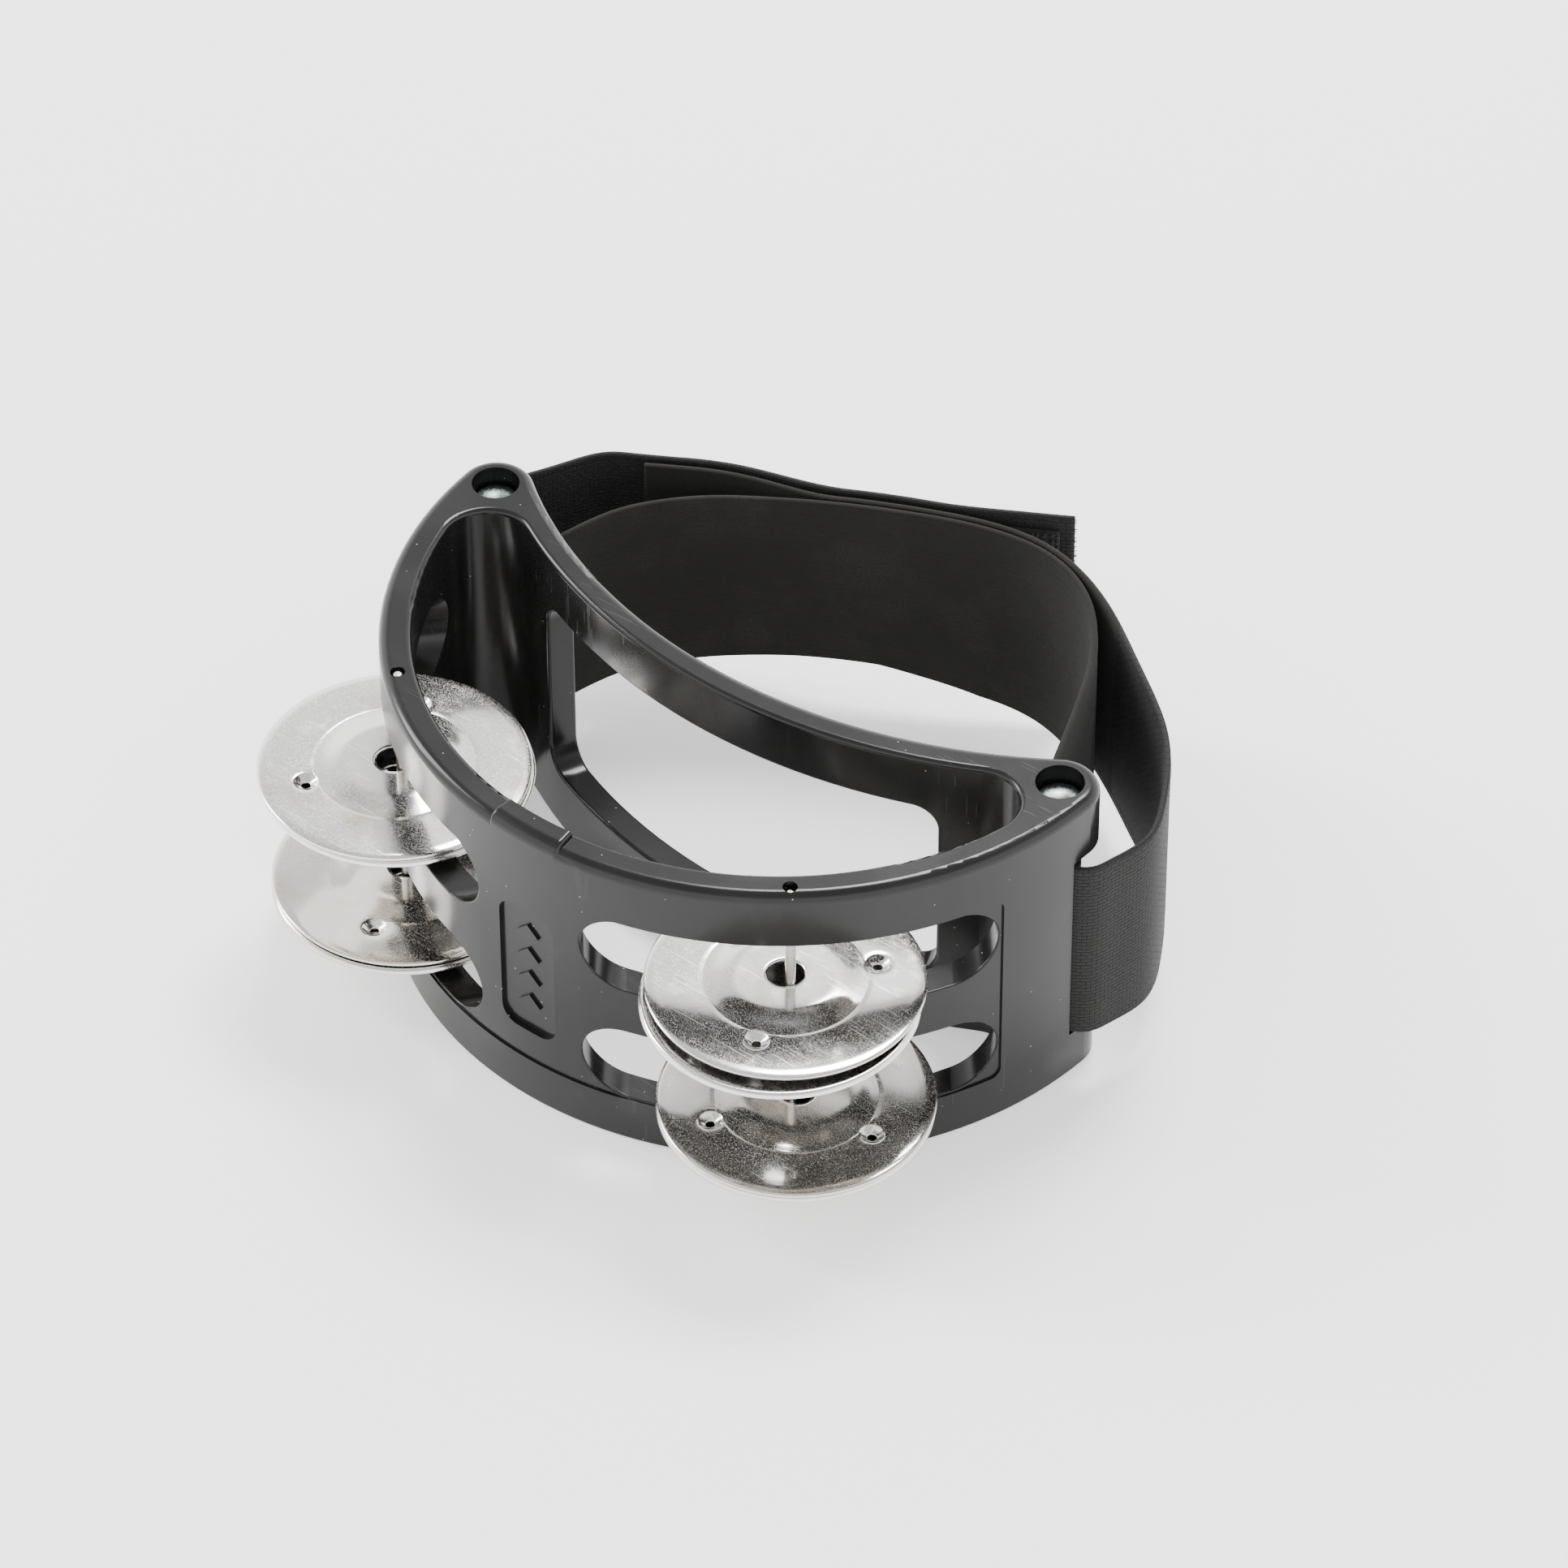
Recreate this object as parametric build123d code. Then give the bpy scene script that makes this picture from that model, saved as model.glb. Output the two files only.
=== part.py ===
"""Foot tambourine: a crescent frame with four pairs of jingles and an elastic foot strap.

Units are millimetres. While the pieces are drawn, the line between the two strap posts is the X axis
and the floor is Z = 0. The last step moves everything so that the origin is the middle of the
object's bottom. The player's foot goes behind the frame, on the +Y side.
"""
from build123d import *
import copy
import os
from math import cos, hypot, radians, sin, sqrt

# ---- frame moulding: driving dimensions ----
frame_height = 64.0
post_half_spacing = 65.0      # each strap post, out from the middle
wall_centre_back = 2.3        # centre of the front wall's arc, behind the post line
horn_radius = 7.1             # round end of each horn, about its post
rest_depth = 13.6             # middle of the concave rest face, in front of the post line
front_wall = 6.0
back_wall = 5.5
pocket_end_radius = 8.0       # round ends of the crescent opening
outer_round = 2.0
inner_round = 1.0
foot_round = 0.5

# ---- jingle slots, bands and window ----
bottom_band = 10.0
slot_height = 16.0
middle_rib = 10.0
slot_half_angle = 30.6        # each slot, to either side of its pin
slot_edge_round = 0.3
pin_angle = 40.3              # from straight ahead, about the front wall's centre
field_depth = 0.4             # the slotted part of the wall lies this far below the bands
field_half_angle = 71.8
field_margin = 0.4            # the sunk field runs past the slots by this much
field_corner = 2.0
window_bottom = 12.5
window_height = 40.0
window_half_angle = 24.1
window_corner = 5.0
window_round = 0.6

# ---- plaque and lug ----
plaque_width = 12.4
plaque_height = 29.5
plaque_depth = 1.0
plaque_corner = 3.4
lozenge_count = 4
lozenge_width = 5.0
lozenge_height = 4.6
lozenge_rise = 0.5
lug_half_angle = 6.2
lug_rise = 1.0
lug_skirt = 3.4               # how far the lug's face runs down the wall
lug_round = 2.4
lug_end_round = 0.8

# ---- strap posts and jingle pins ----
post_radius = 4.2
post_hole_clearance = 0.2
post_sunk = 3.6               # top of the post below the top face
post_floor = 2.0              # plastic left under the post
post_chamfer = 0.7
post_gap_clearance = 2.3      # room round the post, between the flanges
flange_bottom = 9.5
strap_gap_height = 41.9
pin_radius = 0.95
pin_from_outside = 2.7        # pin axis in from the wall's outer face
pin_floor = 2.0
pin_sunk = {"left": 0.4, "right": 1.2}  # top of each pin below the top face
pin_mouth_radius = 1.35
pin_mouth_depth = 2.0
pin_end_round = 0.5

# ---- jingles ----
jingle_radius = 25.0
jingle_sheet = 0.5
jingle_height = 2.6
jingle_hole_radius = 3.4
hub_radius = 9.0
ring_drop = 0.9               # flat ring below the hub
ring_start = 14.5
rim_start = 22.8
dimple_circle = 16.6
dimple_ball = 3.0
dimple_depth = 1.2
dimple_count = 3
dimple_hole_radius = 0.8
rest_gap = 0.05               # between parts that lie on each other
hole_play = 0.12              # least gap between a jingle's hole and its pin

# ---- strap ----
strap_width = 40.0
strap_thickness = 1.4
strap_lift = 0.2              # strap's lower edge above the lower flange
strap_reach = 61.0            # how far the strap's inner band stands behind the post line
strap_bulge = 11.6            # how far the strap's middle stands out past each post
wrap_clearance = 0.35         # webbing to post
layer_gap = 0.2               # between two turns of the same webbing
peel_gap = 0.3                # between the hook tape and the webbing that it grips
hook_thickness = 0.7
hook_width = 34.0
hook_gap = 0.05
exit_angle = 20.0             # how steeply the webbing leaves the front of a post
band_angle_right = 62.0       # how far round each post the inner band lies
band_angle_left = 68.0
overlap_right = 0.56          # where the outer turn joins the inner band, as shares of its length
overlap_left = 0.34
under_start = 0.43            # where it runs on under the tail, as shares of the tail's turn
under_end = 0.61
tail_split = 0.535            # where the tail parts from the outer turn, as a share of its length
tail_cut = 0.4                # width of that parting
hook_start = 0.02             # where the hook tape lies, as shares of the same length
hook_end = 0.49

# ---- worked out from the above ----
wall_centre = Vector(0, wall_centre_back)
wall_radius = hypot(post_half_spacing, wall_centre_back) + horn_radius
reach = horn_radius + rest_depth
rest_centre = Vector(0, (post_half_spacing**2 - reach**2) / (2 * reach))
rest_radius = rest_centre.Y + rest_depth
slot_bottoms = {"lower": bottom_band, "upper": bottom_band + slot_height + middle_rib}
pin_circle = wall_radius - pin_from_outside
sides = {"left": -1, "right": 1}
wrap_radius = post_radius + wrap_clearance + strap_thickness / 2
turn_pitch = strap_thickness + layer_gap
tail_pitch = turn_pitch + strap_thickness + peel_gap + hook_thickness + hook_gap
strap_bottom = flange_bottom + strap_lift

# where each disc has slid to on its pin, as (to the right, back), at most one unit long
jingle_shifts = {
    ("left", "upper", "bottom"): (-0.88, 0.44),
    ("left", "upper", "top"): (-0.96, 0.25),
    ("left", "lower", "bottom"): (-0.37, 0.53),
    ("left", "lower", "top"): (-0.44, 0.68),
    ("right", "upper", "bottom"): (-0.42, -0.70),
    ("right", "upper", "top"): (-0.86, 0.49),
    ("right", "lower", "bottom"): (0.30, 0.25),
    ("right", "lower", "top"): (0.53, 0.06),
}
# the way each disc's first dimple faces, in degrees anticlockwise from straight to the right
jingle_turns = {
    ("left", "upper", "bottom"): 20,
    ("left", "upper", "top"): 116,
    ("left", "lower", "bottom"): 50,
    ("left", "lower", "top"): 49,
    ("right", "upper", "bottom"): 15,
    ("right", "upper", "top"): 51,
    ("right", "lower", "bottom"): 35,
    ("right", "lower", "top"): 2,
}


def polar(centre, radius, angle):
    """Point on a circle, with the angle in degrees from straight ahead, towards +X."""
    return Vector(centre.X + radius * sin(radians(angle)), centre.Y - radius * cos(radians(angle)))


def heading(angle):
    """Unit vector in plan, in degrees anticlockwise from straight to the right."""
    return Vector(cos(radians(angle)), sin(radians(angle)))


def unit(vector):
    """The vector at length one."""
    return vector / vector.length


def crescent(front_radius, back_radius, tip, tip_radius):
    """Crescent face between the front arc and the concave back arc, with round tips."""
    along_front = unit(tip - wall_centre)
    along_back = unit(tip - rest_centre)
    front_end = wall_centre + along_front * front_radius
    back_end = rest_centre + along_back * back_radius
    tip_end = tip + unit(along_front - along_back) * tip_radius
    nose = wall_centre - Vector(0, front_radius)
    hollow = rest_centre - Vector(0, back_radius)

    def left(point):
        return Vector(-point.X, point.Y)

    outline = Wire([
        ThreePointArc(left(front_end), nose, front_end),
        ThreePointArc(front_end, tip_end, back_end),
        ThreePointArc(back_end, hollow, left(back_end)),
        ThreePointArc(left(back_end), left(tip_end), left(front_end)),
    ])
    return Face(outline)


def pocket():
    """Crescent opening in the top face, an even wall inside both arcs."""
    front_radius = wall_radius - front_wall
    back_radius = rest_radius + back_wall
    from_wall = front_radius - pocket_end_radius
    from_rest = back_radius + pocket_end_radius
    y = from_wall**2 - from_rest**2 - wall_centre.Y**2 + rest_centre.Y**2
    y /= 2 * (rest_centre.Y - wall_centre.Y)
    x = sqrt(from_wall**2 - (y - wall_centre.Y) ** 2)
    return crescent(front_radius, back_radius, Vector(x, y), pocket_end_radius)


def ring_sector(centre, inner_radius, outer_radius, bottom, top, half_angle):
    """Part of a ring about an upright axis, to either side of straight ahead."""
    middle = Vector(-(inner_radius + outer_radius) / 2, (bottom + top) / 2)
    profile = Plane.YZ * Pos(middle.X, middle.Y) * Rectangle(outer_radius - inner_radius, top - bottom)
    sector = revolve(Rot(0, 0, -half_angle) * profile, Axis.Z, 2 * half_angle)
    return Pos(centre.X, centre.Y) * sector


def rounded_sector(centre, inner_radius, outer_radius, bottom, top, half_angle, corner):
    """Ring sector whose four corners are round, seen from in front."""
    sector = ring_sector(centre, inner_radius, outer_radius, bottom, top, half_angle)
    corners = sector.edges().filter_by(GeomType.LINE).filter_by(lambda edge: abs((edge % 0.5).Z) < 0.01)
    return fillet(corners, corner)


def slot_plane(side, row):
    """Plane across a jingle slot, inside the wall and facing straight out through the pin."""
    foot = polar(wall_centre, wall_radius - 3 * front_wall, side * pin_angle)
    outward = unit(foot - wall_centre)
    return Plane(
        origin=(foot.X, foot.Y, slot_bottoms[row] + slot_height / 2),
        x_dir=(-outward.Y, outward.X, 0),
        z_dir=(outward.X, outward.Y, 0),
    )


def slot_length():
    """Overall length of a jingle slot."""
    return 2 * wall_radius * sin(radians(slot_half_angle))


def jingle_slot(side, row):
    """Round-ended slot, straight through the front wall about a pin."""
    return extrude(slot_plane(side, row) * SlotOverall(slot_length(), slot_height), 4 * front_wall)


def slot_mouth_edges(body, side, row):
    """Edges where a jingle slot meets the wall's sunk outer face."""
    plane = slot_plane(side, row)
    straight = slot_length() / 2 - slot_height / 2

    def on_mouth(edge):
        for share in (0.1, 0.5, 0.9):
            point = edge @ share
            local = plane.to_local_coords(point)
            past = max(abs(local.X) - straight, 0)
            if abs(hypot(past, local.Y) - slot_height / 2) > 0.01:
                return False
            out = hypot(point.X - wall_centre.X, point.Y - wall_centre.Y)
            if abs(out - wall_radius + field_depth) > 0.01:
                return False
        return True

    return body.edges().filter_by(on_mouth)


def strap_gap(side):
    """Space between a horn's flanges, round the post and open to the outside and the back."""
    room = post_radius + post_gap_clearance
    outer_start = polar(Vector(0, 0), room, exit_angle)
    outer_end = outer_start + heading(exit_angle) * 2 * room
    inner_start = polar(Vector(0, 0), room, -band_angle_right)
    inner_end = inner_start - heading(-band_angle_right) * 3 * room
    behind = make_face(Polyline(
        (0, 0), outer_start, outer_end, (outer_end.X, inner_end.Y), inner_end, inner_start, close=True,
    ))
    plan = Circle(room) + behind
    if side < 0:
        plan = mirror(plan, Plane.YZ)
    return extrude(Pos(side * post_half_spacing, 0, flange_bottom) * plan, strap_gap_height)


def rim_lug():
    """Raised lug over the middle of the rim, flush with the wall's outer face."""
    top = frame_height + lug_rise
    inner = wall_radius - front_wall + inner_round
    lug = ring_sector(wall_centre, inner, wall_radius, frame_height - lug_skirt, top, lug_half_angle)
    outer_edge = lug.faces().sort_by(Axis.Z)[-1].edges().sort_by(Axis.Y)[0]
    lug = fillet(outer_edge, lug_round)
    end_faces = lug.faces().filter_by(GeomType.PLANE).filter_by(lambda face: abs(face.normal_at().Z) < 0.1)
    upper = frame_height - lug_skirt + 0.1
    ends = end_faces.edges().filter_by(lambda edge: (edge @ 0).Z > upper and (edge @ 1).Z > upper)
    return fillet(ends, lug_end_round)


def plaque_plane(depth):
    """Upright plane on the middle of the front wall, this far below its outer face."""
    middle = bottom_band + slot_height + middle_rib / 2
    return Plane(origin=(0, wall_centre.Y - wall_radius + depth, middle), x_dir=(1, 0, 0), z_dir=(0, -1, 0))


def plaque_pocket():
    """Shallow rounded pocket in the middle of the front wall."""
    plan = RectangleRounded(plaque_width, plaque_height, plaque_corner)
    return extrude(plaque_plane(field_depth + plaque_depth) * plan, 2 * plaque_depth)


def plaque_lozenges():
    """Row of plain raised lozenges up the plaque."""
    pitch = (plaque_height - 2 * plaque_corner) / lozenge_count
    plan = make_face(Polyline(
        (-lozenge_width / 2, 0), (0, -lozenge_height / 2), (lozenge_width / 2, 0), (0, lozenge_height / 2),
        close=True,
    ))
    spots = [Pos(0, (number - (lozenge_count - 1) / 2) * pitch) for number in range(lozenge_count)]
    root = plaque_plane(field_depth + plaque_depth + lozenge_rise)
    return [extrude(root * spot * plan, 2 * lozenge_rise) for spot in spots]


def window():
    """Rounded window through the concave back wall."""
    return rounded_sector(
        rest_centre, rest_radius - back_wall, rest_radius + 2 * back_wall,
        window_bottom, window_bottom + window_height, window_half_angle, window_corner,
    )


def window_edges(body):
    """Edges where the window meets either face of the back wall."""
    def on_mouth(edge):
        for share in (0.1, 0.5, 0.9):
            point = edge @ share
            out = hypot(point.X, point.Y - rest_centre.Y)
            if min(abs(out - rest_radius), abs(out - rest_radius - back_wall)) > 0.01:
                return False
            if abs(point.X) > out * sin(radians(window_half_angle)) + 0.01:
                return False
            if not window_bottom - 0.01 < point.Z < window_bottom + window_height + 0.01:
                return False
        return True

    return body.edges().filter_by(on_mouth)


def upright(radius, bottom, top, spot):
    """Plain upright cylinder at a spot in plan."""
    height = top - bottom
    return Pos(spot.X, spot.Y, bottom + height / 2) * Cylinder(radius, height)


def post_spot(side):
    """Plan position of a strap post."""
    return Vector(side * post_half_spacing, 0)


def pin_spot(side):
    """Plan position of a jingle pin."""
    return polar(wall_centre, pin_circle, side * pin_angle)


def frame_moulding():
    """The one-piece plastic frame."""
    body = extrude(crescent(wall_radius, rest_radius, post_spot(1), horn_radius), frame_height)
    body = fillet(body.faces().sort_by(Axis.Z)[-1].edges(), outer_round)
    body = fillet(body.faces().sort_by(Axis.Z)[0].edges(), foot_round)

    field_bottom = bottom_band - field_margin
    field_top = bottom_band + 2 * slot_height + middle_rib + field_margin
    body -= rounded_sector(
        wall_centre, wall_radius - field_depth, wall_radius + 2,
        field_bottom, field_top, field_half_angle, field_corner,
    )
    body -= extrude(pocket(), frame_height)
    rims = body.faces().sort_by(Axis.Z)[-1].inner_wires()[0].edges()
    body = fillet(rims, inner_round)

    for side in sides.values():
        for row in slot_bottoms:
            body -= jingle_slot(side, row)
            body = fillet(slot_mouth_edges(body, side, row), slot_edge_round)
    body -= window()
    body = fillet(window_edges(body), window_round)
    for side in sides.values():
        body -= strap_gap(side)
    body += rim_lug()
    body -= plaque_pocket()
    for lozenge in plaque_lozenges():
        body += lozenge

    for side in sides.values():
        post = post_spot(side)
        body -= upright(post_radius, post_floor, frame_height / 2, post)
        body -= upright(post_radius + post_hole_clearance, frame_height / 2, frame_height + 1, post)
        pin = pin_spot(side)
        body -= upright(pin_radius, pin_floor, frame_height, pin)
        body -= upright(pin_mouth_radius, frame_height - pin_mouth_depth, frame_height + 1, pin)
    return body


def strap_post(side):
    """Steel rod that the strap goes round, chamfered at both ends."""
    post = upright(post_radius, post_floor, frame_height - post_sunk, post_spot(side))
    return chamfer(post.edges().filter_by(GeomType.CIRCLE), post_chamfer)


def jingle_pin(name, side):
    """Thin steel pin that carries one column of jingles, rounded at the top."""
    pin = upright(pin_radius, pin_floor, frame_height - pin_sunk[name], pin_spot(side))
    return fillet(pin.edges().filter_by(GeomType.CIRCLE).sort_by(Axis.Z)[-1], pin_end_round)


def jingle_disc():
    """Pressed jingle, rim down at Z = 0, with a raised hub and three pierced dimples."""
    ring_top = jingle_height - ring_drop
    rim_top = ring_top - jingle_sheet
    inset = jingle_sheet
    profile = make_face(Polyline(
        (jingle_hole_radius, jingle_height),
        (hub_radius, jingle_height),
        (ring_start, ring_top),
        (rim_start, ring_top),
        (jingle_radius - 0.6 * inset, rim_top),
        (jingle_radius, 0.5 * inset),
        (jingle_radius, 0),
        (jingle_radius - inset, 0),
        (jingle_radius - 1.4 * inset, rim_top - 0.8 * inset),
        (rim_start - 0.2 * inset, ring_top - inset),
        (ring_start, ring_top - inset),
        (hub_radius, jingle_height - inset),
        (jingle_hole_radius, jingle_height - inset),
        close=True,
    ))
    disc = revolve(Plane.XZ * profile, Axis.Z)
    ball_height = ring_top + dimple_ball - dimple_depth
    for number in range(dimple_count):
        turn = Rot(0, 0, 360 * number / dimple_count)
        cup = Pos(dimple_circle, 0, ball_height) * Sphere(dimple_ball + jingle_sheet)
        cup &= Pos(dimple_circle, 0, ring_top / 2) * Cylinder(dimple_ball, ring_top)
        disc += turn * cup
    for number in range(dimple_count):
        turn = Rot(0, 0, 360 * number / dimple_count)
        disc -= turn * Pos(dimple_circle, 0, ball_height) * Sphere(dimple_ball)
        disc -= turn * Pos(dimple_circle, 0, 0) * Cylinder(dimple_hole_radius, 3 * jingle_height)
    return disc


def placed_jingle(side_name, row, place, disc):
    """One disc of a pair where it rests: the bottom disc hub down, the top disc rim to rim on it."""
    shift = jingle_shifts[side_name, row, place]
    play = jingle_hole_radius - pin_radius - hole_play
    spot = pin_spot(sides[side_name]) + Vector(*shift) * play
    turn = jingle_turns[side_name, row, place]
    floor = slot_bottoms[row] + rest_gap + jingle_height
    if place == "bottom":
        return Pos(spot.X, spot.Y, floor) * Rot(0, 0, turn) * Rot(180, 0, 0) * disc
    return Pos(spot.X, spot.Y, floor + rest_gap) * Rot(0, 0, turn) * disc


def span(across, back):
    """Plan point between the posts, as shares of the post spacing and of the strap's reach."""
    return Vector(across * post_half_spacing, back * strap_reach)


def past(side, out, back):
    """Plan point beyond a post."""
    return Vector(side * (post_half_spacing + out), back)


def wrap_point(side, angle):
    """Point of the webbing's middle line where it lies on a post."""
    return polar(post_spot(side), wrap_radius, angle)


def beside(curve, share, distance):
    """Point to the left of the way that a curve runs."""
    along = curve % share
    return curve @ share + Vector(-along.Y, along.X) * distance


def shares(start, end, count):
    """Evenly spaced shares of a curve's length."""
    return [start + (end - start) * number / count for number in range(count + 1)]


def smooth(points, start_way, end_way):
    """Smooth curve through points, setting off and arriving the given ways."""
    return Spline(*points, tangents=(start_way, end_way), tangent_scalars=(1, 1))


def left_wrap():
    """The webbing's middle line round the front of the left post."""
    return ThreePointArc(wrap_point(-1, -exit_angle), wrap_point(-1, 25), wrap_point(-1, band_angle_left))


def right_wrap():
    """The webbing's middle line round the front of the right post."""
    return ThreePointArc(wrap_point(1, -band_angle_right), wrap_point(1, -20), wrap_point(1, exit_angle))


def inner_band():
    """Middle line of the inner band, from the left post round the back to the right post."""
    points = [
        wrap_point(-1, band_angle_left), span(-0.83, 0.333), span(-0.518, 0.677), span(-0.125, 0.907),
        span(0.23, 1.0), span(0.43, 0.925), span(0.545, 0.81), span(0.746, 0.395),
        wrap_point(1, -band_angle_right),
    ]
    return smooth(points, heading(band_angle_left), heading(-band_angle_right))


def back_turn(band, outer):
    """Middle line of the right side's outer turn, which ends between the inner band and the tail."""
    behind = [beside(band, share, turn_pitch) for share in shares(overlap_right, overlap_left, 12)]
    under = [beside(outer, share, tail_pitch - turn_pitch) for share in shares(under_start, under_end, 4)]
    points = [
        wrap_point(1, exit_angle), past(1, 6.7, -3.2), past(1, 8.9, -1.4), past(1, 10.2, 2.2),
        past(1, strap_bulge, 10.5), past(1, 8.0, 20.2), span(0.954, 0.577), span(0.714, 0.775),
        span(0.535, 0.905), *behind, *under,
    ]
    return smooth(points, heading(exit_angle), outer % under_end)


def outer_turn(band):
    """Middle line of the tail and the left side's outer turn, from the free end to the left post."""
    behind = [beside(band, share, tail_pitch) for share in shares(0.445, overlap_left + 0.01, 6)]
    points = [
        span(0.211, 1.183), span(0.066, 1.092), *behind, span(-0.695, 0.727), span(-0.945, 0.577),
        past(-1, 0.4, 32.6), past(-1, 4.6, 25.8), past(-1, 7.9, 19.1), past(-1, strap_bulge, 9.0),
        past(-1, 10.2, 2.2), past(-1, 8.9, -1.4), past(-1, 6.7, -3.2), wrap_point(-1, -exit_angle),
    ]
    return smooth(points, heading(-149), heading(-exit_angle))


def ribbon(pieces, middle, thickness, bottom, width):
    """Upright layer of webbing along joined plan curves, its middle this far to their left.

    Each piece is a curve with the shares of its length to start and end at.
    """
    def edge_beside(curve, start, end, distance):
        count = max(4, round(curve.length * (end - start) / 4))
        points = [beside(curve, share, distance) for share in shares(start, end, count)]
        if curve.geom_type == GeomType.CIRCLE:
            return ThreePointArc(points[0], beside(curve, (start + end) / 2, distance), points[-1])
        return smooth(points, curve % start, curve % end)

    near = [edge_beside(*piece, middle - thickness / 2) for piece in pieces]
    far = [edge_beside(*piece, middle + thickness / 2) for piece in pieces]
    ends = [Line(near[0] @ 0, far[0] @ 0), Line(near[-1] @ 1, far[-1] @ 1)]
    return extrude(Pos(0, 0, bottom) * make_face(near + far + ends), width)


def strap_pieces():
    """The strap loop, its tail and the tail's hook tape."""
    band = inner_band()
    outer = outer_turn(band)
    back = back_turn(band, outer)
    cut = tail_cut / outer.length
    route = [
        (outer, tail_split + cut, 1), (left_wrap(), 0, 1), (band, 0, 1), (right_wrap(), 0, 1), (back, 0, 1),
    ]
    tape = [(outer, hook_start, hook_end)]
    hook_middle = strap_thickness / 2 + hook_gap + hook_thickness / 2
    hook_bottom = strap_bottom + (strap_width - hook_width) / 2
    pivot = beside(outer, tail_split, -strap_thickness / 2)
    return {
        "strap_loop": ribbon(route, 0, strap_thickness, strap_bottom, strap_width),
        "strap_tail": ribbon([(outer, 0, tail_split)], 0, strap_thickness, strap_bottom, strap_width),
        "hook_tape": ribbon(tape, hook_middle, hook_thickness, hook_bottom, hook_width),
    }, pivot


def all_pieces():
    """Every piece by name, and the named points that joints and mounts need."""
    pieces = {"frame": frame_moulding()}
    disc = jingle_disc()
    for name, side in sides.items():
        pieces[f"strap_post_{name}"] = strap_post(side)
        pieces[f"jingle_pin_{name}"] = jingle_pin(name, side)
        for row in slot_bottoms:
            for place in ("bottom", "top"):
                pieces[f"jingle_{name}_{row}_{place}"] = placed_jingle(name, row, place, disc)
    straps, pivot = strap_pieces()
    pieces.update(straps)
    points = {
        "tail pivot": pivot,
        "pin left": pin_spot(-1),
        "pin right": pin_spot(1),
        "rest face": Vector(0, wall_centre.Y - wall_radius + front_wall / 2),
    }
    return pieces, points


os.makedirs("parts", exist_ok=True)
pieces, points = all_pieces()
box = Compound(children=[copy.copy(piece) for piece in pieces.values()]).bounding_box()
shift = Pos(-(box.min.X + box.max.X) / 2, -(box.min.Y + box.max.Y) / 2, -box.min.Z)
for name, piece in pieces.items():
    export_step(shift * piece, f"parts/{name}.step")
for name, point in points.items():
    print(name, (shift * Pos(point.X, point.Y)).position)
print("shift", shift.position, "size", box.size)
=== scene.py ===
"""Looks of a foot tambourine: finishes for its frame, and its jingles, steel and webbing modelled in full.

Lengths are in metres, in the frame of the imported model: +Z up, +Y towards the player's foot.
"""

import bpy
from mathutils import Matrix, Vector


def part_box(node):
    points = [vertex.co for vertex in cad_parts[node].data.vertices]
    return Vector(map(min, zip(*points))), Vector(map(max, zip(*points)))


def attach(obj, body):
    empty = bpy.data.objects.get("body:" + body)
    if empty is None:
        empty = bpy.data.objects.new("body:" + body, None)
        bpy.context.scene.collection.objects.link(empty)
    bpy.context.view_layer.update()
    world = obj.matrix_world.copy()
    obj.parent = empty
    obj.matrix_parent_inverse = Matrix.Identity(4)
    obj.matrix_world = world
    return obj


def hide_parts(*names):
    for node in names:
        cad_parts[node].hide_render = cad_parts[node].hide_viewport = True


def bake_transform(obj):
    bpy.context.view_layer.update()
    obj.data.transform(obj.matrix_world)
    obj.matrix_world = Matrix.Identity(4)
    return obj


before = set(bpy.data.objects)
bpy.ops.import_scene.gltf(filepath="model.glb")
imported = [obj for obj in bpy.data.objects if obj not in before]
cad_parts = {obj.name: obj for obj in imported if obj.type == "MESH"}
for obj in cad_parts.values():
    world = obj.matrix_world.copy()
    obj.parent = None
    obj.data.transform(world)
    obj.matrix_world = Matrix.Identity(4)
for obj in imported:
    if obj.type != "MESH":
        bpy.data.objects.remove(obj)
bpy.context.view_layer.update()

import logging
from dataclasses import dataclass, field
from enum import Enum
from math import cos, hypot, pi, radians, sin
from typing import Iterator, Sequence

import bmesh
import bpy
import numpy as np
from mathutils import Matrix, Vector, noise

log = logging.getLogger("foot_tambourine")

MM = 0.001
RINGS_TO_A_UNIT = 20  # rings that the wave texture draws in one unit at scale 1
Colour = tuple[float, float, float]
Socket = bpy.types.NodeSocket
Material = bpy.types.Material
MERGE = 0.001 * MM


class Body(str, Enum):
    """Rigid bodies that pieces ride on."""

    FRAME = "body_frame"
    TAIL = "tail"


class Side(int, Enum):
    """Left or right half of the frame, as the sign of X."""

    LEFT = -1
    RIGHT = 1

    @property
    def word(self) -> str:
        """The side as it is written in names."""
        return self.name.lower()


class Row(str, Enum):
    """Lower or upper row of jingles."""

    LOWER = "lower"
    UPPER = "upper"


class Place(str, Enum):
    """Bottom or top jingle of a pair."""

    BOTTOM = "bottom"
    TOP = "top"


# ---- finishes


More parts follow.
